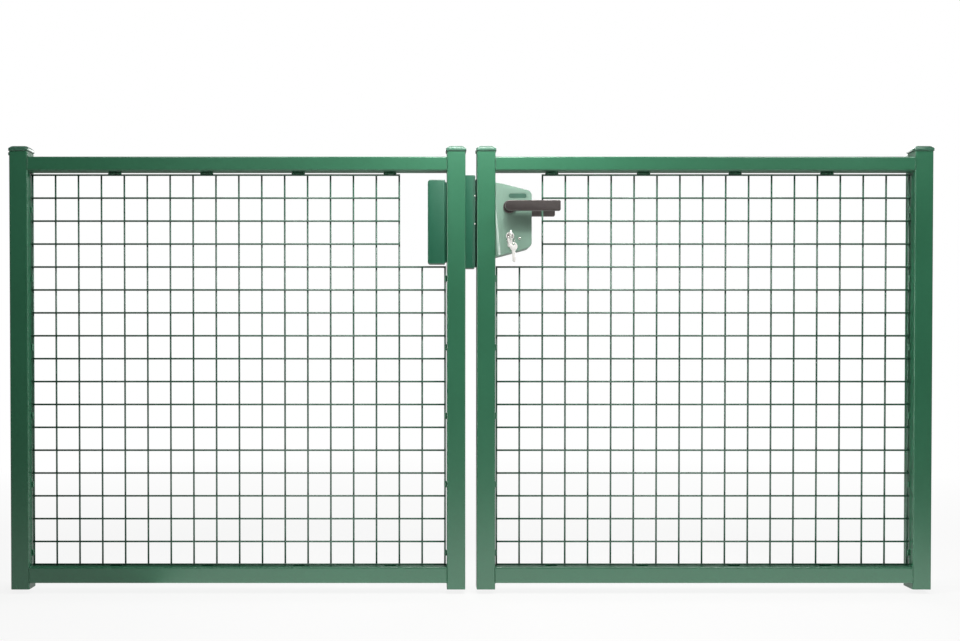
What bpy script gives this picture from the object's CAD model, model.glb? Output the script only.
import logging
import math
from dataclasses import dataclass
from enum import Enum
from typing import Any, Callable, Sequence

import bmesh
import bpy
from bmesh.types import BMEdge, BMesh, BMVert
from bpy.types import ID, Material, Mesh, Node, NodeSocket, NodeTree, Object
from mathutils import Matrix, Vector


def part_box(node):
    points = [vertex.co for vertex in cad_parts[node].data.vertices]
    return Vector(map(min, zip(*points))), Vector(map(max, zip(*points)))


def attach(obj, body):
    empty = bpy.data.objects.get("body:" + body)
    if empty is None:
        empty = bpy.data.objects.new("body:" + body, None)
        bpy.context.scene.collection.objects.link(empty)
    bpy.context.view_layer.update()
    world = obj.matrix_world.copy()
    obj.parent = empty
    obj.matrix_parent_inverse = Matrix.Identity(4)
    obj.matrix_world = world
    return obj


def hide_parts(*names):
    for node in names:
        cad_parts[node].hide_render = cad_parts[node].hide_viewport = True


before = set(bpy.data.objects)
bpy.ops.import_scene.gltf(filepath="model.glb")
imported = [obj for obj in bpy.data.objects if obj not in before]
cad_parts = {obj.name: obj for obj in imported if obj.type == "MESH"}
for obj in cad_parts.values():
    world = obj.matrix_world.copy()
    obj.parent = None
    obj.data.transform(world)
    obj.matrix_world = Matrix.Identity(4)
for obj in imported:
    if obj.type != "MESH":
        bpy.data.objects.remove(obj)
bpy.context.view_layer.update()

LOG = logging.getLogger("gate")
MM = 0.001
Colour = tuple[float, float, float]
Point = tuple[float, float, float]
Flat = tuple[float, float]
Bead = tuple[Vector, float]
Inputs = dict[int | str, Any]
WHITE: Colour = (1.0, 1.0, 1.0)


class Hand(Enum):
    """The two leaves, as seen from the front."""

    LEFT = "left"
    RIGHT = "right"


class Side(Enum):
    """The two faces of a leaf, as the sign of their Y direction."""

    FRONT = -1
    BACK = 1


def add_node(tree: NodeTree, kind: str, settings: dict[str, Any], inputs: Inputs) -> Node:
    """Add a node to a tree.

    Args:
        tree: the tree.
        kind: the node's type.
        settings: its properties, set before its sockets.
        inputs: values or sockets for its inputs, by name or place.

    Returns:
        The node.
    """
    made = tree.nodes.new(kind)
    for key, value in settings.items():
        setattr(made, key, value)
    for key, value in inputs.items():
        if isinstance(value, NodeSocket):
            tree.links.new(value, made.inputs[key])
        else:
            made.inputs[key].default_value = value
    return made


class Sock:
    """An output socket of a shader tree, on which arithmetic adds Math nodes."""

    def __init__(self, shade: "Shade", socket: NodeSocket | None) -> None:
        """Wrap one socket of a shade's tree, or none at the tree's end."""
        self.shade = shade
        self.socket = socket

    def _math(self, operation: str, first: Any, second: Any) -> "Sock":
        """Add one Math node on two values."""
        return self.shade.node("ShaderNodeMath", {"operation": operation}, {0: first, 1: second})

    def __add__(self, other: Any) -> "Sock":
        """Add."""
        return self._math("ADD", self, other)

    __radd__ = __add__

    def __sub__(self, other: Any) -> "Sock":
        """Subtract."""
        return self._math("SUBTRACT", self, other)

    def __rsub__(self, other: Any) -> "Sock":
        """Subtract from a number."""
        return self._math("SUBTRACT", other, self)

    def __mul__(self, other: Any) -> "Sock":
        """Multiply."""
        return self._math("MULTIPLY", self, other)

    __rmul__ = __mul__

    def most(self, other: Any) -> "Sock":
        """The larger of two values."""
        return self._math("MAXIMUM", self, other)

    def within(self, low: float, high: float) -> "Sock":
        """Where the value lies between low and high, from 0 to 1 and clamped."""
        inputs = {"Value": self, "From Min": low, "From Max": high}
        return self.shade.node("ShaderNodeMapRange", {"clamp": True}, inputs)


class Shade:
    """One shader node tree, of a material or of the world."""

    def __init__(self, tree: NodeTree) -> None:
        """Take over a tree and empty it."""
        self.tree = tree
        self.tree.nodes.clear()

    @classmethod
    def material(cls, name: str) -> tuple["Shade", Material]:
        """Start a new material.

        Args:
            name: the material's name.

        Returns:
            The shade that builds its tree, and the material.
        """
        made = bpy.data.materials.new(name)
        made.use_nodes = True
        return cls(made.node_tree), made

    def node(
        self,
        kind: str,
        settings: dict[str, Any] | None = None,
        inputs: Inputs | None = None,
        output: Any = 0,
    ) -> Sock:
        """Add a node, as add_node does.

        Args:
            kind: the node's type.
            settings: its properties.
            inputs: its inputs.
            output: which output to return.

        Returns:
            That output, ready for arithmetic.
        """
        bare = {}
        for key, value in (inputs or {}).items():
            bare[key] = value.socket if isinstance(value, Sock) else value
        made = add_node(self.tree, kind, settings or {}, bare)
        return Sock(self, made.outputs[output] if len(made.outputs) else None)

    def place(self) -> Sock:
        """The object's own coordinates, in metres."""
        return self.node("ShaderNodeTexCoord", output="Object")

    def noise(self, size: float, detail: float = 3.0, stretch: Point = (1.0, 1.0, 1.0)) -> Sock:
        """Cloudy noise on the object's coordinates.

        Args:
            size: width of its features, in metres.
            detail: how much finer noise is added.
            stretch: how many times finer it is along each axis.

        Returns:
            The noise, from 0 to 1.
        """
        where = self.node("ShaderNodeMapping", inputs={"Vector": self.place(), "Scale": stretch})
        inputs = {"Vector": where, "Scale": 1.0 / size, "Detail": detail}
        return self.node("ShaderNodeTexNoise", inputs=inputs)

    def mix(self, factor: Any, first: Any, second: Any) -> Sock:
        """Mix two colours by a factor."""
        return self.node("ShaderNodeMix", {"data_type": "RGBA"}, {0: factor, 6: first, 7: second}, 2)

    def bump(self, height: Sock, depth: float, strength: float = 1.0) -> Sock:
        """Turn a height from 0 to 1 into a normal.

        Args:
            height: the height.
            depth: the height's full depth, in metres.
            strength: share of the bump that is used.

        Returns:
            The normal.
        """
        inputs = {"Height": height, "Distance": depth, "Strength": strength}
        return self.node("ShaderNodeBump", inputs=inputs)

    def surface(self, **inputs: Any) -> None:
        """Close the tree with a Principled surface; underscores in input names stand for spaces."""
        named = {key.replace("_", " "): value for key, value in inputs.items()}
        shader = self.node("ShaderNodeBsdfPrincipled", inputs=named)
        self.node("ShaderNodeOutputMaterial", inputs={"Surface": shader})


def rgba(colour: Colour) -> tuple[float, float, float, float]:
    """A colour with full alpha."""
    return (*colour, 1.0)


@dataclass(frozen=True)
class PowderCoat:
    """Satin powder coat on steel, with an orange-peel skin and a little settled dust."""

    name: str
    colour: Colour
    shade_colour: Colour
    roughness: float = 0.38
    peel: float = 2.4 * MM
    peel_depth: float = 0.05 * MM
    gloss: float = 0.70
    cloud: float = 220 * MM
    mottle: float = 9 * MM

    def material(self) -> Material:
        """Build the coat's material."""
        shade, made = Shade.material(self.name)
        cloud = shade.noise(self.cloud, 4.0)
        mottle = shade.noise(self.mottle, 5.0)
        tone = (cloud * 0.7 + mottle * 0.3).within(0.32, 0.68)
        base = shade.mix(tone, rgba(self.shade_colour), rgba(self.colour))
        peel = shade.noise(self.peel, 1.0)
        rough = self.roughness + (mottle - 0.5) * 0.10 + (cloud - 0.5) * 0.08
        shade.surface(
            Base_Color=base,
            Roughness=rough,
            Specular_IOR_Level=self.gloss,
            Normal=shade.bump(peel, self.peel_depth, 0.6),
        )
        return made


@dataclass(frozen=True)
class MouldedPlastic:
    """Injection-moulded plastic with a fine matt grain under a gloss."""

    name: str
    colour: Colour
    roughness: float = 0.24
    grain: float = 0.7 * MM
    flow: float = 28 * MM

    def material(self) -> Material:
        """Build the plastic's material."""
        shade, made = Shade.material(self.name)
        flow = shade.noise(self.flow, 3.0, (1.0, 1.0, 3.0))
        dark = tuple(channel * 0.82 for channel in self.colour)
        base = shade.mix(flow.within(0.3, 0.7), rgba(dark), rgba(self.colour))
        grain = shade.noise(self.grain, 2.0)
        shade.surface(
            Base_Color=base,
            Roughness=self.roughness + (grain - 0.5) * 0.12,
            Specular_IOR_Level=0.5,
            Coat_Weight=0.5,
            Coat_Roughness=0.12,
            Normal=shade.bump(grain, 0.03 * MM, 0.5),
        )
        return made


@dataclass(frozen=True)
class Metal:
    """A plated or anodised metal with brushing along one axis and faint handling marks."""

    name: str
    colour: Colour
    roughness: float
    metallic: float = 1.0
    brushed: Point = (1.0, 1.0, 1.0)
    line: float = 0.4 * MM
    line_depth: float = 0.02 * MM
    marks: float = 14 * MM

    def material(self) -> Material:
        """Build the metal's material."""
        shade, made = Shade.material(self.name)
        lines = shade.noise(self.line, 2.0, self.brushed)
        marks = shade.noise(self.marks, 5.0)
        dull = tuple(channel * 0.86 for channel in self.colour)
        base = shade.mix((lines * 0.5 + marks * 0.5).within(0.3, 0.62), rgba(dull), rgba(self.colour))
        rough = self.roughness + (lines - 0.5) * 0.10 + (marks - 0.5) * 0.06
        shade.surface(
            Base_Color=base,
            Metallic=self.metallic,
            Roughness=rough,
            Normal=shade.bump(lines, self.line_depth, 0.7),
        )
        return made


@dataclass(frozen=True)
class ZincPlate:
    """Zinc-plated steel with its faint crystal spangle."""

    name: str
    colour: Colour
    spangle: float = 3.5 * MM

    def material(self) -> Material:
        """Build the plate's material."""
        shade, made = Shade.material(self.name)
        cells = {"Vector": shade.place(), "Scale": 1.0 / self.spangle}
        crystal = shade.node("ShaderNodeTexVoronoi", inputs=cells, output="Color")
        grey = shade.node("ShaderNodeRGBToBW", inputs={"Color": crystal})
        dull = tuple(channel * 0.78 for channel in self.colour)
        base = shade.mix(grey, rgba(dull), rgba(self.colour))
        shade.surface(
            Base_Color=base,
            Metallic=1.0,
            Roughness=0.36 + (grey - 0.5) * 0.16,
            Normal=shade.bump(shade.noise(0.8 * MM, 2.0), 0.02 * MM, 0.5),
        )
        return made


class Finishes:
    """Every finish of the gate, each built once."""

    def __init__(self) -> None:
        """Build the materials."""
        coats = (
            PowderCoat("green_powder_coat", (0.020, 0.124, 0.061), (0.017, 0.106, 0.051), 0.34),
            PowderCoat("green_wire_coat", (0.022, 0.085, 0.050), (0.017, 0.066, 0.038), 0.42, 1.6 * MM),
            PowderCoat("green_keeper_coat", (0.011, 0.092, 0.049), (0.009, 0.079, 0.041), 0.34),
            PowderCoat("green_strike_coat", (0.017, 0.080, 0.047), (0.014, 0.070, 0.040), 0.40, 1.6 * MM),
            PowderCoat("green_lock_coat", (0.160, 0.254, 0.198), (0.151, 0.241, 0.187), 0.30, 1.8 * MM),
        )
        fine = ((1.0, 1.0, 0.2), 0.25 * MM, 0.01 * MM)
        metals = (
            Metal("dark_anodised_lever", (0.128, 0.112, 0.108), 0.32, 0.8, (0.08, 1.0, 1.0)),
            Metal("bright_nickel", (0.80, 0.77, 0.74), 0.22, 1.0, *fine),
            Metal("satin_nickel", (0.79, 0.77, 0.74), 0.42, 0.5, *fine),
            Metal("blackened_steel", (0.016, 0.040, 0.030), 0.42, 0.7, (1.0, 1.0, 0.1)),
        )
        self.coat, self.wire, self.keeper, self.strike, self.lock = [coat.material() for coat in coats]
        self.lever, self.nickel, self.satin, self.faceplate = [metal.material() for metal in metals]
        self.cap = MouldedPlastic("green_cap_plastic", (0.042, 0.128, 0.080), 0.22).material()
        self.insert = MouldedPlastic("green_insert_plastic", (0.052, 0.128, 0.090), 0.36).material()
        self.zinc = ZincPlate("zinc_plated_steel", (0.52, 0.53, 0.55)).material()


def add_object(name: str, data: ID) -> Object:
    """Put a mesh, curve, lamp or camera in the scene as an object at the origin."""
    made = bpy.data.objects.new(name, data)
    bpy.context.scene.collection.objects.link(made)
    return made


def add_piece(name: str, mesh: Mesh, body: str, node: str = "") -> Object:
    """Put a finished mesh in the scene as a piece of the gate.

    Args:
        name: the piece's name.
        mesh: its mesh, with its material.
        body: the body it rides on.
        node: the CAD node that it stands for, if any.

    Returns:
        The piece.
    """
    piece = add_object(name, mesh)
    if node:
        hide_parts(node)
    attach(piece, body)
    return piece


def evaluated(holder: Object) -> Mesh:
    """The plain mesh that an object's curve or modifiers make; the object itself goes."""
    depsgraph = bpy.context.evaluated_depsgraph_get()
    result = bpy.data.meshes.new_from_object(holder.evaluated_get(depsgraph), depsgraph=depsgraph)
    bpy.data.objects.remove(holder)
    return result


def finished(shape: BMesh, name: str) -> Mesh:
    """Turn a shape into a mesh of that name and free it."""
    result = bpy.data.meshes.new(name)
    shape.to_mesh(result)
    shape.free()
    return result


def dress(mesh: Mesh, material: Material) -> Mesh:
    """Give a mesh one material, and hand it back."""
    mesh.materials.clear()
    mesh.materials.append(material)
    return mesh


def shade_by_angle(mesh: Mesh, degrees: float = 40.0) -> Mesh:
    """Shade a mesh smooth, apart from edges sharper than an angle, and hand it back."""
    mesh.polygons.foreach_set("use_smooth", [True] * len(mesh.polygons))
    mesh.set_sharp_from_angle(angle=math.radians(degrees))
    return mesh


def joined(name: str, meshes: Sequence[Mesh]) -> Mesh:
    """Join meshes of one material into one mesh.

    Args:
        name: the new mesh's name.
        meshes: what it is made of.

    Returns:
        The joined mesh, with the first mesh's material.
    """
    shape = bmesh.new()
    for mesh in meshes:
        shape.from_mesh(mesh)
    result = finished(shape, name)
    for material in meshes[0].materials:
        result.materials.append(material)
    return result


def skin(shape: BMesh, first: list[BMVert], second: list[BMVert], closed: bool = True) -> None:
    """Join two equal rows of points with quads, all the way round or from end to end."""
    for index in range(len(first) if closed else len(first) - 1):
        following = (index + 1) % len(first)
        shape.faces.new((first[index], first[following], second[following], second[index]))


def loft(rings: Sequence[Sequence[Point]], name: str) -> Mesh:
    """Skin a closed solid through rings of equal length, with a flat face at each end.

    Args:
        rings: the rings, in order.
        name: the mesh's name.

    Returns:
        The mesh, with its faces pointing outwards.
    """
    shape = bmesh.new()
    loops = [[shape.verts.new(point) for point in ring] for ring in rings]
    for low, high in zip(loops, loops[1:]):
        skin(shape, low, high)
    shape.faces.new(loops[0])
    shape.faces.new(loops[-1])
    bmesh.ops.recalc_face_normals(shape, faces=shape.faces)
    return finished(shape, name)


def rounded(low: Flat, high: Flat, inset: float, radius: float, steps: int) -> list[Flat]:
    """Points of a rectangle with round corners.

    Args:
        low: its lower corner.
        high: its upper corner.
        inset: how far the round corners' middles lie in from its sides.
        radius: the round corners' radius.
        steps: points along each corner, less one.

    Returns:
        The points, anticlockwise from the right side's upper end.
    """
    left, right = low[0] + inset, high[0] - inset
    bottom, top = low[1] + inset, high[1] - inset
    points = []
    for quarter, (across, up) in enumerate(((right, top), (left, top), (left, bottom), (right, bottom))):
        for step in range(steps + 1):
            angle = math.radians(90 * quarter + 90 * step / steps)
            points.append((across + radius * math.cos(angle), up + radius * math.sin(angle)))
    return points


def plate(name: str, low: Point, high: Point, corner: float, ease: float) -> Mesh:
    """A flat plate in the XZ plane with round corners and eased edges.

    Args:
        name: the mesh's name.
        low: the plate's lower corner.
        high: the plate's upper corner.
        corner: its corners' radius.
        ease: the width of its eased edge.

    Returns:
        The plate.
    """
    steps = 5
    least_radius = 0.05 * MM
    rings = []
    for y, inset in ((low[1], ease), (low[1] + ease, 0.0), (high[1] - ease, 0.0), (high[1], ease)):
        radius = max(corner - inset, least_radius)
        outline = rounded((low[0], low[2]), (high[0], high[2]), corner, radius, steps)
        rings.append([(x, y, z) for x, z in outline])
    return shade_by_angle(loft(rings, name))


class GeoTree:
    """A Geometry Nodes tree with named inputs, which ends as a plain mesh."""

    def __init__(self, name: str, inputs: dict[str, str], takes_geometry: bool = False) -> None:
        """Start the tree.

        Args:
            name: the tree's name.
            inputs: each input's name and socket type.
            takes_geometry: whether it works on the points of a mesh.
        """
        self.tree = bpy.data.node_groups.new(name, "GeometryNodeTree")
        face = self.tree.interface
        face.new_socket(name="Geometry", in_out="OUTPUT", socket_type="NodeSocketGeometry")
        if takes_geometry:
            face.new_socket(name="Geometry", in_out="INPUT", socket_type="NodeSocketGeometry")
        self.identifiers = {}
        for label, kind in inputs.items():
            made = face.new_socket(name=label, in_out="INPUT", socket_type=kind)
            self.identifiers[label] = made.identifier
        self.entry = self.tree.nodes.new("NodeGroupInput")
        self.exit = self.tree.nodes.new("NodeGroupOutput")

    def given(self, label: str) -> NodeSocket:
        """The socket of a named input."""
        return self.entry.outputs[label]

    def node(self, kind: str, inputs: Inputs, **settings: Any) -> Node:
        """Add a node, with its inputs by name or place and its properties."""
        return add_node(self.tree, kind, settings, inputs)

    def close(self, points: NodeSocket, instance: NodeSocket, material: Material, laid_by: Inputs) -> None:
        """End the tree in real geometry: one shape on every point, in one material.

        Args:
            points: the points.
            instance: the shape that stands on each.
            material: the finish they take.
            laid_by: the shapes' Rotation or Scale.
        """
        inputs = {"Points": points, "Instance": instance, **laid_by}
        laid = self.node("GeometryNodeInstanceOnPoints", inputs)
        real = self.node("GeometryNodeRealizeInstances", {0: laid.outputs[0]})
        dressed = self.node("GeometryNodeSetMaterial", {0: real.outputs[0], "Material": material})
        self.tree.links.new(dressed.outputs[0], self.exit.inputs[0])

    def mesh(self, values: dict[str, Any], points: Mesh | None = None) -> Mesh:
        """Evaluate the tree.

        Args:
            values: a value for each named input.
            points: the mesh it works on, if it takes one.

        Returns:
            The result as a plain mesh.
        """
        holder = add_object("holder", points or bpy.data.meshes.new("holder"))
        modifier = holder.modifiers.new("tree", "NODES")
        modifier.node_group = self.tree
        for label, value in values.items():
            modifier[self.identifiers[label]] = value
        return evaluated(holder)


@dataclass
class WireTree:
    """Rows of like round wires."""

    material: Material
    sides: int = 12

    def build(self) -> GeoTree:
        """Make the tree: wires of one length, set side by side."""
        inputs = {"Count": "NodeSocketInt", "Length": "NodeSocketFloat", "Radius": "NodeSocketFloat"}
        tree = GeoTree("wire_row", inputs | dict.fromkeys(("Start", "Step", "Turn"), "NodeSocketVector"))
        count, length, radius, start, step, turn = [tree.given(label) for label in tree.identifiers]
        spots = {"Count": count, "Start Location": start, "Offset": step}
        row = tree.node("GeometryNodeMeshLine", spots, mode="OFFSET")
        sizes = {"Vertices": self.sides, "Radius": radius, "Depth": length}
        wire = tree.node("GeometryNodeMeshCylinder", sizes)
        smooth = tree.node("GeometryNodeSetShadeSmooth", {0: wire.outputs["Mesh"], 1: wire.outputs["Side"]})
        turned = tree.node("FunctionNodeEulerToRotation", {"Euler": turn})
        tree.close(row.outputs[0], smooth.outputs[0], self.material, {"Rotation": turned.outputs[0]})
        return tree


@dataclass
class BeadTree:
    """Weld beads: overlapping drops on the points of a mesh, each as large as its size attribute."""

    material: Material
    seed: int = 4

    def build(self) -> GeoTree:
        """Make the tree: one drop on every point, a little uneven."""
        tree = GeoTree("weld_beads", {"Uneven": "NodeSocketFloat"}, takes_geometry=True)
        drop = tree.node("GeometryNodeMeshIcoSphere", {"Radius": 1.0, "Subdivisions": 2})
        smooth = tree.node("GeometryNodeSetShadeSmooth", {0: drop.outputs[0]})
        size = tree.node("GeometryNodeInputNamedAttribute", {"Name": "size"}, data_type="FLOAT")
        limits = {2: -1.0, 3: 1.0, "Seed": self.seed}
        chance = tree.node("FunctionNodeRandomValue", limits, data_type="FLOAT")
        uneven = {0: chance.outputs[1], 1: tree.given("Uneven"), 2: 1.0}
        spread = tree.node("ShaderNodeMath", uneven, operation="MULTIPLY_ADD")
        sized = {0: size.outputs[0], 1: spread.outputs[0]}
        scale = tree.node("ShaderNodeMath", sized, operation="MULTIPLY")
        tree.close(tree.given("Geometry"), smooth.outputs[0], self.material, {"Scale": scale.outputs[0]})
        return tree


def bead_points(beads: Sequence[Bead]) -> Mesh:
    """A mesh of loose points, one at each bead's middle, with its radius as its size."""
    mesh = bpy.data.meshes.new("bead_points")
    mesh.from_pydata([tuple(place) for place, radius in beads], [], [])
    size = mesh.attributes.new("size", "FLOAT", "POINT")
    size.data.foreach_set("value", [radius for place, radius in beads])
    return mesh


def run(start: Vector, end: Vector, pitch: float, radius: float) -> list[Bead]:
    """Evenly spaced beads from start to end."""
    count = max(2, round((end - start).length / pitch) + 1)
    return [(start.lerp(end, index / (count - 1)), radius) for index in range(count)]


@dataclass
class SoftEdges:
    """A CAD node shown with the eased edges of the real piece."""

    node: str
    body: str
    width: float
    material: Material
    slot: str
    segments: int = 3
    sharp: float = 25.0
    eased: Callable[[Vector], bool] = lambda place: True
    splits: tuple[float, ...] = ()
    weld: float = 0.002 * MM
    flat: float = 0.5

    def split(self, shape: BMesh) -> None:
        """Part the faces along X planes through their holes, so that no face closes round a hole."""
        for x in self.splits:
            geometry = [*shape.verts, *shape.edges, *shape.faces]
            plane = {"plane_co": (x, 0.0, 0.0), "plane_no": (1.0, 0.0, 0.0)}
            cut = bmesh.ops.bisect_plane(shape, geom=geometry, **plane)
            for item in cut["geom_cut"]:
                if isinstance(item, BMEdge):
                    item.seam = True

    def build(self) -> Object:
        """Copy the node's mesh, ease its edges and put it in the node's place.

        Returns:
            The piece that stands for the node.
        """
        shape = bmesh.new()
        shape.from_mesh(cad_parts[self.node].data)
        bmesh.ops.remove_doubles(shape, verts=shape.verts, dist=self.weld)
        self.split(shape)
        bmesh.ops.dissolve_limit(
            shape,
            angle_limit=math.radians(self.flat),
            verts=shape.verts,
            edges=shape.edges,
            use_dissolve_boundaries=False,
            delimit={"SEAM"},
        )
        weight = shape.edges.layers.float.new("bevel_weight_edge")
        for face in shape.faces:
            face.smooth = True
        for edge in shape.edges:
            if len(edge.link_faces) == 2 and edge.calc_face_angle() > math.radians(self.sharp):
                middle = (edge.verts[0].co + edge.verts[1].co) / 2
                edge.smooth = self.eased(middle)
                edge[weight] = 1.0 if edge.smooth else 0.0
        holder = add_object(self.node + "_holder", finished(shape, self.node + "_eased"))
        bevel = holder.modifiers.new("ease", "BEVEL")
        bevel.limit_method = "WEIGHT"
        bevel.width = self.width
        bevel.segments = self.segments
        bevel.harden_normals = True
        mesh = dress(evaluated(holder), self.material)
        return add_piece(self.node + "_soft", mesh, self.body, self.node)


@dataclass
class Leaf:
    """One leaf's round mesh wires and its welds, in the left leaf's sizes and mirrored for the right."""

    hand: Hand
    wire_tree: GeoTree
    bead_tree: GeoTree
    pitch: float = 50 * MM
    columns: int = 18
    rows: int = 17
    cutout_columns: int = 2
    cutout_rows: int = 4
    wire_radius: float = 1.95 * MM
    side_gap: float = 3.75 * MM
    low_gap: float = 3 * MM
    layer: float = 1.75 * MM
    rail_tacks: tuple[float, ...] = (3.6, 7.6, 11.6, 15.6)
    hinge_tacks: tuple[float, ...] = (0.5, 3.5, 6.5, 9.5, 12.5, 15.5)
    meeting_tacks: tuple[float, ...] = (0.5, 3.5, 6.5, 9.5, 12.5)
    tack_reach: float = 1.6 * MM

    def __post_init__(self) -> None:
        """Read the leaf's places from the frame."""
        low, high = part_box("left_hinge_stile")
        self.stile_face = high.x
        self.meeting_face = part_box("left_meeting_stile")[0].x
        self.middle_y = (low.y + high.y) / 2
        self.bottom_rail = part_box("left_bottom_rail")
        self.top_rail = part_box("left_top_rail")
        self.left = self.stile_face + self.side_gap
        self.bottom = self.bottom_rail[1].z + self.low_gap
        self.right = self.left + self.columns * self.pitch
        self.top = self.bottom + self.rows * self.pitch
        self.gate_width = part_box("right_hinge_stile")[1].x

    def x(self, value: float) -> float:
        """A left leaf's X on this leaf."""
        return value if self.hand is Hand.LEFT else self.gate_width - value

    def run(self, start: Point, end: Point, pitch: float, radius: float) -> list[Bead]:
        """Beads between two of the left leaf's points, on this leaf."""
        ends = [Vector((self.x(x), y, z)) for x, y, z in (start, end)]
        return run(*ends, pitch, radius)

    def add(self, name: str, mesh: Mesh, node: str = "") -> Object:
        """Put one of this leaf's pieces in the scene, in the place of its node if it has one."""
        hand = self.hand.value
        return add_piece(f"{hand}_{name}", mesh, f"{hand}_leaf", node and f"{hand}_{node}")

    def wires(self) -> Object:
        """Lay the mesh: uprights at the back, cross wires welded to their front."""
        whole_columns = self.columns - self.cutout_columns + 1
        whole_rows = self.rows - self.cutout_rows + 1
        along = (self.pitch if self.hand is Hand.LEFT else -self.pitch, 0.0, 0.0)
        rows = []
        cut_columns = (whole_columns, self.cutout_columns, self.cutout_rows)
        for first, count, cut in ((0, whole_columns, 0), cut_columns):
            length = (self.rows - cut) * self.pitch + 2 * self.wire_radius
            z = self.bottom - self.wire_radius + length / 2
            start = (self.x(self.left + first * self.pitch), self.middle_y + self.layer, z)
            rows.append((count, start, along, (0.0, 0.0, 0.0), length))
        cut_rows = (whole_rows, self.cutout_rows, self.cutout_columns)
        for first, count, cut in ((0, whole_rows, 0), cut_rows):
            length = (self.columns - cut) * self.pitch + 2 * self.wire_radius
            x = self.x(self.left - self.wire_radius + length / 2)
            start = (x, self.middle_y - self.layer, self.bottom + first * self.pitch)
            rows.append((count, start, (0.0, 0.0, self.pitch), (0.0, math.pi / 2, 0.0), length))
        labels = ("Count", "Start", "Step", "Turn", "Length")
        radius = {"Radius": self.wire_radius}
        meshes = [self.wire_tree.mesh(dict(zip(labels, row)) | radius) for row in rows]
        return self.add("mesh_wires", joined("wires", meshes), "mesh_panel")

    def tacks(self) -> Object:
        """Weld the mesh to its frame with short runs of beads."""
        beads: list[Bead] = []
        y = self.middle_y
        half, short = 11 * MM, 5 * MM
        rail_pitch, side_pitch, side_radius = 3.2 * MM, 2.4 * MM, 2.3 * MM
        rail_levels = (
            ((self.top + self.top_rail[0].z) / 2, 3.6 * MM),
            (self.bottom - self.tack_reach, 2.2 * MM),
        )
        for cells in self.rail_tacks:
            middle = self.left + cells * self.pitch
            for z, radius in rail_levels:
                beads += self.run((middle - half, y, z), (middle + half, y, z), rail_pitch, radius)
        hinge_side = (self.hinge_tacks, self.left - self.tack_reach)
        meeting_side = (self.meeting_tacks, self.right + self.tack_reach)
        for places, x in (hinge_side, meeting_side):
            for cells in places:
                z = self.bottom + cells * self.pitch
                beads += self.run((x, y, z - short), (x, y, z + short), side_pitch, side_radius)
        return self.add("tack_welds", self.bead_tree.mesh({"Uneven": 0.14}, bead_points(beads)))

    def corner_welds(self) -> Object:
        """Weld each rail's ends round to the stiles."""
        beads: list[Bead] = []
        inset, sunk, proud = 2.2 * MM, 0.5 * MM, 0.4 * MM
        bead = (1.9 * MM, 1.25 * MM)
        for low, high in (self.top_rail, self.bottom_rail):
            front, back = low.y + sunk, high.y - sunk
            bottom, top = low.z + inset, high.z - inset
            for x in (self.stile_face + proud, self.meeting_face - proud):
                beads += self.run((x, front, bottom), (x, front, top), *bead)
                beads += self.run((x, back, top), (x, back, bottom), *bead)
                for z in (low.z + sunk, high.z - sunk):
                    beads += self.run((x, front + inset, z), (x, back - inset, z), *bead)
        return self.add("corner_welds", self.bead_tree.mesh({"Uneven": 0.12}, bead_points(beads)))

    def build(self) -> list[Object]:
        """Lay the mesh and weld it in.

        Returns:
            The pieces.
        """
        return [self.wires(), self.tacks(), self.corner_welds()]


@dataclass
class TubeCap:
    """A moulded cap over a tube's end: a skirt, and a top sloped on all four sides."""

    node: str
    body: str
    material: Material
    corner: float = 5 * MM
    wall: float = 1.9 * MM
    slope: float = 4.6 * MM
    ease: float = 0.9 * MM
    rim: float = 0.5 * MM
    roof: float = 1.5 * MM
    steps: int = 6

    def build(self) -> Object:
        """Skin the cap and put it in the node's place.

        Returns:
            The cap.
        """
        low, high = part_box(self.node)
        x, y = (low.x + high.x) / 2, (low.y + high.y) / 2
        half = (high.x - low.x) / 2
        inside = half - self.wall
        shoulder = high.z - self.slope
        flat = half - self.slope - self.ease
        outside = (
            (low.z, half - self.rim),
            (low.z + self.rim, half),
            (shoulder - self.ease, half),
            (shoulder, half - 0.3 * self.ease),
            (shoulder + 0.7 * self.ease, half - self.ease),
            (high.z - 0.6 * self.ease, flat + 0.9 * self.ease),
            (high.z - 0.15 * self.ease, flat),
            (high.z, flat - self.ease),
        )
        levels = [(z, inside, self.corner - self.wall) for z in (shoulder - self.roof, low.z)]
        levels += [(z, reach, self.corner) for z, reach in outside]
        levels.append((high.z, half * 0.2, self.corner * 0.4))
        rings = []
        for z, reach, radius in levels:
            outline = rounded((x - reach, y - reach), (x + reach, y + reach), radius, radius, self.steps)
            rings.append([(*spot, z) for spot in outline])
        name = self.node + "_moulded"
        mesh = shade_by_angle(dress(loft(rings, name), self.material))
        return add_piece(name, mesh, self.body, self.node)


@dataclass(frozen=True)
class ScrewHead:
    """A pan-head screw with a hexagon socket, standing on the origin along +Z."""

    radius: float
    height: float
    socket: float
    sides: int = 24

    def ring(self, radius: float, z: float, hexagon: bool = False) -> list[Point]:
        """A circle, or a hexagon of as many points."""
        points = []
        for index in range(self.sides):
            angle = 2 * math.pi * index / self.sides
            reach = radius
            if hexagon:
                reach = radius * math.cos(math.pi / 6) / math.cos((angle % (math.pi / 3)) - math.pi / 6)
            points.append((reach * math.cos(angle), reach * math.sin(angle), z))
        return points

    def mesh(self, material: Material) -> Mesh:
        """Skin the head in a finish."""
        profile = ((1.0, 0.0), (1.0, 0.45), (0.93, 0.75), (0.78, 0.95), (0.62, 1.0))
        rings = [self.ring(self.radius * wide, self.height * up) for wide, up in profile]
        rings.append(self.ring(self.socket, self.height, True))
        rings.append(self.ring(self.socket * 0.96, self.height * 0.35, True))
        return shade_by_angle(dress(loft(rings, "screw_head"), material))


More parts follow.
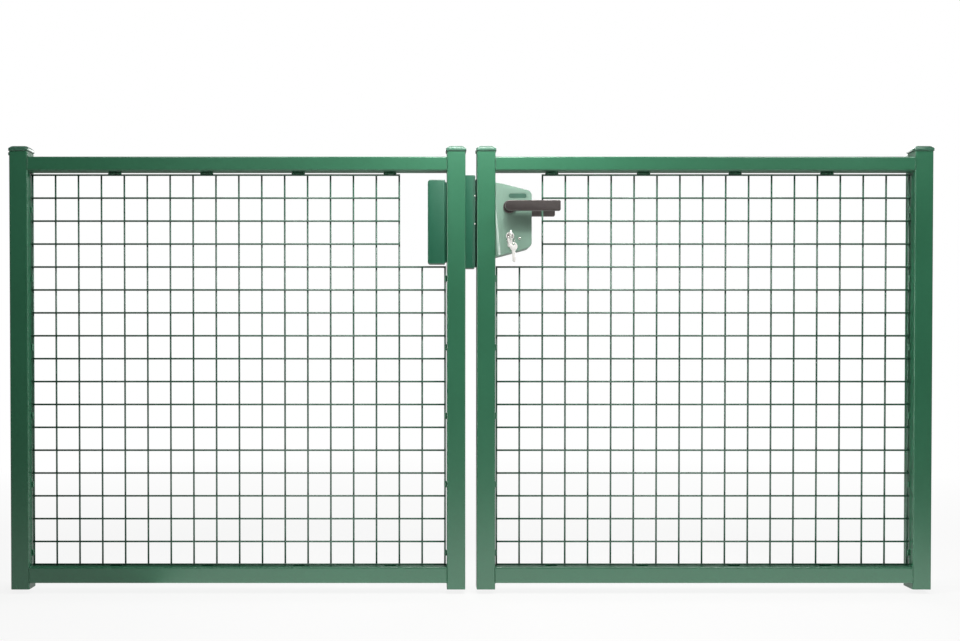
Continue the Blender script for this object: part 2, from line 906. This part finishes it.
@dataclass
class Screws:
    """Screw heads on a flat face, all turned the same way."""

    name: str
    body: str
    places: list[Point]
    side: Side
    slot: str

    def build(self, head: ScrewHead, material: Material) -> Object:
        """Set a head on every place.

        Args:
            head: the head.
            material: its finish.

        Returns:
            The screws as one piece.
        """
        source = add_object(self.name + "_head", head.mesh(material))
        tree = GeoTree(self.name, {"Turn": "NodeSocketVector"}, takes_geometry=True)
        info = tree.node("GeometryNodeObjectInfo", {"Object": source})
        turn = tree.node("FunctionNodeEulerToRotation", {"Euler": tree.given("Turn")})
        turned = {"Rotation": turn.outputs[0]}
        tree.close(tree.given("Geometry"), info.outputs["Geometry"], material, turned)
        points = bpy.data.meshes.new(self.name)
        points.from_pydata(self.places, [], [])
        lean = -self.side.value * math.pi / 2
        mesh = tree.mesh({"Turn": (lean, 0.0, 0.0)}, points)
        bpy.data.objects.remove(source)
        return add_piece(self.name, mesh, self.body)


@dataclass
class KeyRing:
    """The split ring in the key's bow, and the spare key that hangs from it."""

    ring_radius: float = 9.5 * MM
    wire_radius: float = 0.7 * MM
    ring_sweep: float = 700.0
    ring_turn: float = 28.0
    key_turn: float = 18.0
    lean: float = -3.0
    drift: float = 5.0 * MM
    hang: float = 3.8 * MM
    bow: float = 9.0 * MM
    bow_top: float = 1.6 * MM
    hole: float = 2.6 * MM
    hole_drop: float = 2.4 * MM
    hole_depth: float = 7 * MM
    blade: float = 25.0 * MM
    half_blade: float = 3.9 * MM
    overlap: float = 2.6 * MM
    tip: float = 2.2 * MM
    cuts: tuple[float, ...] = (0.0, 1.4, 0.4, 1.9, 0.9, 1.5, 0.3, 1.2, 0.6, 2.4)
    thickness: float = 2.0 * MM
    ease: float = 0.3 * MM

    def __post_init__(self) -> None:
        """Find the hole in the key's bow, from the key's place."""
        low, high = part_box("key")
        level = (low.z + high.z) / 2 - self.hole_drop
        self.eye = Vector(((low.x + high.x) / 2, low.y + self.hole_depth, level))

    def ring(self, material: Material) -> Object:
        """Bend the split ring: two close turns of wire in a finish."""
        curve = bpy.data.curves.new("key_ring", "CURVE")
        curve.dimensions = "3D"
        curve.bevel_depth = self.wire_radius
        curve.bevel_resolution = 4
        steps = 96
        spline = curve.splines.new("POLY")
        spline.points.add(steps)
        for index in range(steps + 1):
            angle = math.radians(90 + self.ring_sweep * index / steps)
            spline.points[index].co = (
                self.ring_radius * math.cos(angle),
                self.wire_radius * (2.0 * index / steps - 1.0),
                self.ring_radius * (math.sin(angle) - 1.0),
                1.0,
            )
        mesh = evaluated(add_object("key_ring_holder", curve))
        mesh.transform(Matrix.Translation(self.eye) @ Matrix.Rotation(math.radians(self.ring_turn), 4, "Z"))
        mesh = shade_by_angle(dress(mesh, material), 60.0)
        return add_piece("key_ring", mesh, "right_leaf")

    def outline(self) -> Mesh:
        """Draw the spare key flat: a round bow with its hole, and a blade with cuts on one side."""
        steps = 40
        shape = bmesh.new()
        rim, eye = [], []
        for index in range(steps):
            angle = math.pi / 2 + 2 * math.pi * index / steps
            across, up = math.cos(angle), math.sin(angle)
            rim.append(shape.verts.new((self.bow * across, 0.0, self.bow * (up - 1.0) + self.bow_top)))
            eye.append(shape.verts.new((self.hole * across, 0.0, self.hole * up - self.hole_drop)))
        skin(shape, rim, eye)
        last = len(self.cuts) - 1
        left, right = [], []
        for index, cut in enumerate(self.cuts):
            level = self.overlap - 2 * self.bow - self.blade * index / last
            back = self.tip - self.half_blade if index == last else -self.half_blade
            left.append(shape.verts.new((back, 0.0, level)))
            right.append(shape.verts.new((self.half_blade - cut * MM, 0.0, level)))
        skin(shape, left, right, closed=False)
        bmesh.ops.recalc_face_normals(shape, faces=shape.faces)
        return finished(shape, "spare_key")

    def spare_key(self, material: Material) -> Object:
        """Cut the spare key from plate in a finish and hang it on the ring."""
        holder = add_object("spare_key_holder", self.outline())
        wall = holder.modifiers.new("wall", "SOLIDIFY")
        wall.thickness = self.thickness
        wall.offset = 0.0
        bevel = holder.modifiers.new("ease", "BEVEL")
        bevel.width = self.ease
        bevel.segments = 2
        mesh = evaluated(holder)
        place = self.eye + Vector((self.drift, -1.0 * MM, self.hang - 2 * self.ring_radius))
        lean = Matrix.Rotation(math.radians(self.lean), 4, "Y")
        turn = Matrix.Rotation(math.radians(self.key_turn), 4, "Z")
        mesh.transform(Matrix.Translation(place) @ lean @ turn)
        mesh = shade_by_angle(dress(mesh, material), 35.0)
        return add_piece("spare_key", mesh, "right_leaf")


@dataclass
class Lock:
    """The lock's pieces, with the eased edges, screws and keys of the real one."""

    finishes: Finishes
    case_edge: float = 4.0 * MM
    shoulder_width: float = 17 * MM
    shoulder_depth: tuple[float, float] = (11 * MM, 29 * MM)
    label_low: Flat = (1080.3 * MM, 858.3 * MM)
    label_high: Flat = (1118.7 * MM, 867.7 * MM)
    label_room: float = 1.3 * MM
    strike_screws: tuple[float, float] = (803.8 * MM, 864.5 * MM)
    case_screw_spot: Flat = (1103.6 * MM, 770.6 * MM)

    def on_outer_edge(self, place: Vector) -> bool:
        """Whether a point of the lock case lies on its outside, away from its holes and recess."""
        for node in ("lock_cylinder", "front_handle_rose"):
            low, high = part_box(node)
            if low.x - MM < place.x < high.x + MM and low.z - MM < place.z < high.z + MM:
                return False
        room = self.label_room
        across = self.label_low[0] - room < place.x < self.label_high[0] + room
        if across and self.label_low[1] - room < place.z < self.label_high[1] + room:
            return False
        low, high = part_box("lock_case")
        on_face = min(abs(place.y - low.y), abs(place.y - high.y)) < 0.1 * MM
        nearest, farthest = self.shoulder_depth
        in_shoulder = nearest < abs(place.y - (low.y + high.y) / 2) < farthest
        slope = place.x - low.x
        return slope > MM and (on_face or (in_shoulder and slope < self.shoulder_width))

    def soft_pieces(self) -> list[Object]:
        """Dress the lock, the bolts and the keeper, each with its own eased edges."""
        looks = self.finishes
        middles = [sum(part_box(node), Vector()).x / 2 for node in ("front_handle_rose", "lock_cylinder")]
        splits = (*middles, (self.label_low[0] + self.label_high[0]) / 2)
        outer = {"segments": 4, "sharp": 20.0, "eased": self.on_outer_edge, "splits": splits}
        rows = (
            ("lock_case", "right_leaf", self.case_edge, looks.lock, "green_coat", outer),
            ("lock_faceplate", "right_leaf", 0.4 * MM, looks.faceplate, "dark_metal", {}),
            ("lock_cylinder", "right_leaf", 0.5 * MM, looks.satin, "nickel", {}),
            ("front_handle_rose", "right_leaf", 0.9 * MM, looks.lever, "dark_metal", {}),
            ("front_handle", "handle", 2.4 * MM, looks.lever, "dark_metal", {"segments": 4}),
            ("back_handle_rose", "right_leaf", 0.9 * MM, looks.lever, "dark_metal", {}),
            ("back_handle", "handle", 2.4 * MM, looks.lever, "dark_metal", {"segments": 4}),
            ("latch_bolt", "latch", 0.7 * MM, looks.nickel, "nickel", {}),
            ("dead_bolt", "dead_bolt", 0.7 * MM, looks.nickel, "nickel", {}),
            ("cylinder_plug", "key", 0.3 * MM, looks.nickel, "nickel", {}),
            ("key", "key", 0.35 * MM, looks.satin, "nickel", {}),
            ("keeper", "left_leaf", 1.2 * MM, looks.keeper, "green_coat", {}),
            ("keeper_housing", "left_leaf", 1.6 * MM, looks.keeper, "green_coat", {}),
        )
        return [SoftEdges(*row, **special).build() for *row, special in rows]

    def strike(self) -> list[Object]:
        """Set the coated cheeks on the keeper's two sides, and their two small screws."""
        low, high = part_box("keeper")
        left, right = high.x - 3.6 * MM, high.x + 1.2 * MM
        bottom, top = low.z + 2 * MM, high.z - 2 * MM
        proud, sunk = 0.5 * MM, 0.6 * MM
        corner, ease = 1.2 * MM, 0.25 * MM
        cheeks = [
            plate("cheek", (left, near, bottom), (right, far, top), corner, ease)
            for near, far in ((low.y - proud, low.y + sunk), (high.y - sunk, high.y + proud))
        ]
        mesh = dress(joined("strike_cheeks", cheeks), self.finishes.strike)
        places = [(high.x + 0.3 * MM, low.y - proud, z) for z in self.strike_screws]
        screws = Screws("strike_screw", "left_leaf", places, Side.FRONT, "nickel")
        head = ScrewHead(1.7 * MM, 1.0 * MM, 0.6 * MM)
        return [
            add_piece("strike_cheeks", mesh, "left_leaf"),
            screws.build(head, self.finishes.satin),
        ]

    def label_place(self) -> Object:
        """Lay the plain insert in the recess on the case's front, where a label would go."""
        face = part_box("lock_case")[0].y
        low = (self.label_low[0], face + 0.3 * MM, self.label_low[1])
        high = (self.label_high[0], face + 1.1 * MM, self.label_high[1])
        corner, ease = 4.6 * MM, 0.2 * MM
        mesh = dress(plate("label_place", low, high, corner, ease), self.finishes.insert)
        return add_piece("label_place", mesh, "right_leaf")

    def case_screw(self) -> Object:
        """Set the screw on the case's front."""
        x, z = self.case_screw_spot
        places = [(x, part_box("lock_case")[0].y, z)]
        screws = Screws("case_screw", "right_leaf", places, Side.FRONT, "nickel")
        return screws.build(ScrewHead(2.6 * MM, 1.4 * MM, 1.2 * MM), self.finishes.nickel)

    def build(self) -> list[Object]:
        """Dress the lock and its keeper.

        Returns:
            The pieces.
        """
        keys = KeyRing()
        return [
            *self.soft_pieces(),
            *self.strike(),
            self.label_place(),
            keys.ring(self.finishes.nickel),
            keys.spare_key(self.finishes.satin),
        ]


@dataclass
class Hinges:
    """The four butt hinges and the screws in their plates."""

    finishes: Finishes
    thickness: float = 3 * MM
    screw_in: float = 9 * MM
    screw_end: float = 11 * MM
    heights: tuple[str, str] = ("lower", "upper")

    def screws(self, hand: Hand, part: str, body: str, side: Side) -> Object:
        """Set the screws in one side's two plates on a post or on a leaf.

        Args:
            hand: which side of the gate.
            part: the plates' name, post_leaf or gate_leaf.
            body: the body they ride on.
            side: the way the heads face.

        Returns:
            The screws as one piece.
        """
        tube = "post" if part == "post_leaf" else "hinge_stile"
        low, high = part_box(f"{hand.value}_{tube}")
        face = low.y - self.thickness if side is Side.FRONT else high.y + self.thickness
        spots = []
        for height in self.heights:
            low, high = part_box(f"{hand.value}_{height}_hinge_{part}")
            x = high.x - self.screw_in if hand is Hand.LEFT else low.x + self.screw_in
            spots += [(x, face, z) for z in (low.z + self.screw_end, high.z - self.screw_end)]
        made = Screws(f"{hand.value}_{part}_screws", body, spots, side, "zinc_steel")
        return made.build(ScrewHead(3.2 * MM, 1.8 * MM, 1.5 * MM), self.finishes.zinc)

    def build(self) -> list[Object]:
        """Dress the hinges' plates and set their screws.

        Returns:
            The pieces.
        """
        made = []
        zinc = self.finishes.zinc
        for hand in Hand:
            parts = (("post_leaf", "posts", Side.FRONT), ("gate_leaf", f"{hand.value}_leaf", Side.BACK))
            for height in self.heights:
                for part, body, side in parts:
                    node = f"{hand.value}_{height}_hinge_{part}"
                    made.append(SoftEdges(node, body, 0.5 * MM, zinc, "zinc_steel").build())
            made += [self.screws(hand, *part) for part in parts]
        return made


@dataclass
class Frames:
    """The tubes and feet that keep their CAD shape, and the caps on their ends."""

    finishes: Finishes
    tubes: tuple[str, ...] = (
        "post", "post_foot", "hinge_stile", "meeting_stile", "top_rail", "bottom_rail"
    )
    caps: tuple[str, ...] = ("post_cap", "hinge_stile_cap", "meeting_stile_cap")

    def build(self) -> list[Object]:
        """Coat the tubes and mould the caps.

        Returns:
            The caps.
        """
        made = []
        for hand in Hand:
            for tube in self.tubes:
                dress(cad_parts[f"{hand.value}_{tube}"].data, self.finishes.coat)
            for cap in self.caps:
                body = "posts" if cap == "post_cap" else f"{hand.value}_leaf"
                made.append(TubeCap(f"{hand.value}_{cap}", body, self.finishes.cap).build())
        dress(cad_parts["handle_spindle"].data, self.finishes.zinc)
        return made


@dataclass(frozen=True)
class Softbox:
    """A soft lamp: its place, what it points at, its size, its watts and its beam's angle in degrees."""

    name: str
    place: Point
    aim: Point
    size: Flat
    power: float
    spread: float = 180.0

    def hang(self) -> None:
        """Hang the lamp."""
        data = bpy.data.lights.new(self.name, "AREA")
        data.shape = "RECTANGLE"
        data.size, data.size_y = self.size
        data.energy = self.power
        data.spread = math.radians(self.spread)
        lamp = add_object(self.name, data)
        lamp.location = self.place
        way = Vector(self.aim) - Vector(self.place)
        lamp.rotation_euler = way.to_track_quat("-Z", "Y").to_euler()
        lamp.visible_camera = False


LAMPS = (
    Softbox("key", (1.05, -0.38, 1.32), (1.03, -0.06, 0.85), (0.3, 0.12), 6.8),
    Softbox("right", (2.1, -0.75, 1.70), (1.9, -0.06, 0.8), (0.6, 0.4), 15.5),
    Softbox("left", (0.25, -0.75, 1.70), (0.4, -0.06, 0.8), (0.6, 0.4), 7.4),
    Softbox("top", (1.0, 0.17, 1.85), (1.0, 0.13, 0.9), (1.0, 0.3), 4.5),
    Softbox("front", (1.0, -2.0, 1.55), (1.0, 0.0, 1.2), (1.6, 0.5), 1.2),
    Softbox("left_strip", (-0.5, -0.40, 0.75), (1.96, -0.06, 0.7), (0.35, 1.0), 0.65, 28.0),
    Softbox("right_strip", (2.5, -0.40, 0.75), (0.04, -0.06, 0.7), (0.35, 1.0), 0.3, 28.0),
    Softbox("fill", (0.9, -3.6, 1.9), (1.1, 0.0, 0.9), (2.4, 1.4), 1.5),
    Softbox("back", (1.6, 2.6, 2.2), (1.0, 0.0, 0.5), (2.4, 1.4), 42.0),
    Softbox("sill", (1.26, -0.55, 0.004), (1.26, -0.55, 1.0), (1.9, 0.95), 6.0),
)


@dataclass
class Studio:
    """A pale floor, soft light and the photograph's camera."""

    eye: Point = (889 * MM, -2397 * MM, 530.5 * MM)
    focal_pixels: float = 1073.0
    frame_width: float = 960.0
    frame_height: float = 641.0
    centre_x: float = 420.0
    centre_y: float = 350.0
    sensor: float = 36.0
    pitch: float = 0.013
    floor_middle: Point = (1.0, 0.0, 0.0)
    floor_radius: float = 4.0
    floor_colour: Colour = (0.84, 0.83, 0.81)
    floor_white: float = 0.86
    fade: Flat = (1.0, 3.0)
    mirrored_floor: Flat = (0.35, 1.3)
    ambient: float = 0.05
    mirrored: float = 0.08

    def camera(self) -> None:
        """Set the camera square to the gate, with the photograph's shift."""
        data = bpy.data.cameras.new("camera")
        data.sensor_width = self.sensor
        data.lens = self.focal_pixels / self.frame_width * self.sensor
        data.shift_x = (self.frame_width / 2 - self.centre_x) / self.frame_width
        lifted = self.centre_y + self.focal_pixels * math.tan(self.pitch)
        data.shift_y = (lifted - self.frame_height / 2) / self.frame_width
        data.clip_start = 0.05
        camera = add_object("camera", data)
        camera.location = self.eye
        camera.rotation_euler = (math.pi / 2 - self.pitch, 0.0, 0.0)
        bpy.context.scene.camera = camera

    def seen(self, shade: Shade, mirrored: Any) -> Sock:
        """How white a ray sees the studio.

        Args:
            shade: the tree it is for.
            mirrored: the share that a reflection shows.

        Returns:
            One to the eye and through glass, and the mirrored share in reflections.
        """
        camera = shade.node("ShaderNodeLightPath", output="Is Camera Ray")
        glossy = shade.node("ShaderNodeLightPath", output="Is Glossy Ray")
        through = shade.node("ShaderNodeLightPath", output="Is Transmission Ray")
        return camera.most(glossy * mirrored).most(through)

    def world(self) -> None:
        """White to the eye, soft grey as a light."""
        world = bpy.data.worlds.new("studio")
        bpy.context.scene.world = world
        world.use_nodes = True
        shade = Shade(world.node_tree)
        strength = self.seen(shade, self.mirrored).most(self.ambient)
        sky = shade.node("ShaderNodeBackground", inputs={"Color": rgba(WHITE), "Strength": strength})
        shade.node("ShaderNodeOutputWorld", inputs={"Surface": sky})

    def floor(self) -> None:
        """A pale disc that keeps the shadows and fades into the white round it."""
        shape = bmesh.new()
        bmesh.ops.create_circle(shape, cap_ends=True, segments=96, radius=self.floor_radius)
        bmesh.ops.translate(shape, verts=shape.verts, vec=Vector(self.floor_middle))
        shade, paint = Shade.material("pale_floor")
        ends = {0: shade.place(), 1: self.floor_middle}
        away = shade.node("ShaderNodeVectorMath", {"operation": "DISTANCE"}, ends, "Value")
        across = shade.node("ShaderNodeSeparateXYZ", inputs={0: shade.place()}, output="Y")
        depth = shade.node("ShaderNodeMath", {"operation": "ABSOLUTE"}, {0: across})
        near = 1.0 - depth.within(*self.mirrored_floor)
        paleness = self.floor_white + away.within(*self.fade) * (1.0 - self.floor_white)
        matt = shade.node("ShaderNodeBsdfDiffuse", inputs={"Color": rgba(self.floor_colour)})
        glow = shade.node("ShaderNodeEmission", inputs={"Color": rgba(WHITE), "Strength": 1.0})
        shares = {0: self.seen(shade, near) * paleness, 1: matt, 2: glow}
        both = shade.node("ShaderNodeMixShader", inputs=shares)
        shade.node("ShaderNodeOutputMaterial", inputs={"Surface": both})
        add_object("floor", dress(finished(shape, "floor"), paint))

    def build(self) -> None:
        """Set the whole studio."""
        self.camera()
        self.world()
        self.floor()
        for lamp in LAMPS:
            lamp.hang()
        bpy.context.scene.view_settings.view_transform = "Standard"


def main() -> None:
    """Build the finishes, the pieces and the studio, in order."""
    logging.basicConfig(level=logging.INFO)
    finishes = Finishes()
    lock = Lock(finishes)
    made = Frames(finishes).build()
    wire_tree = WireTree(finishes.wire).build()
    bead_tree = BeadTree(finishes.coat).build()
    for hand in Hand:
        made += Leaf(hand, wire_tree, bead_tree).build()
    made += lock.build()
    made += Hinges(finishes).build()
    made.append(lock.case_screw())
    for piece in made:
        LOG.info("%s: %d faces", piece.name, len(piece.data.polygons))
    Studio().build()


if __name__ == "__main__":
    main()
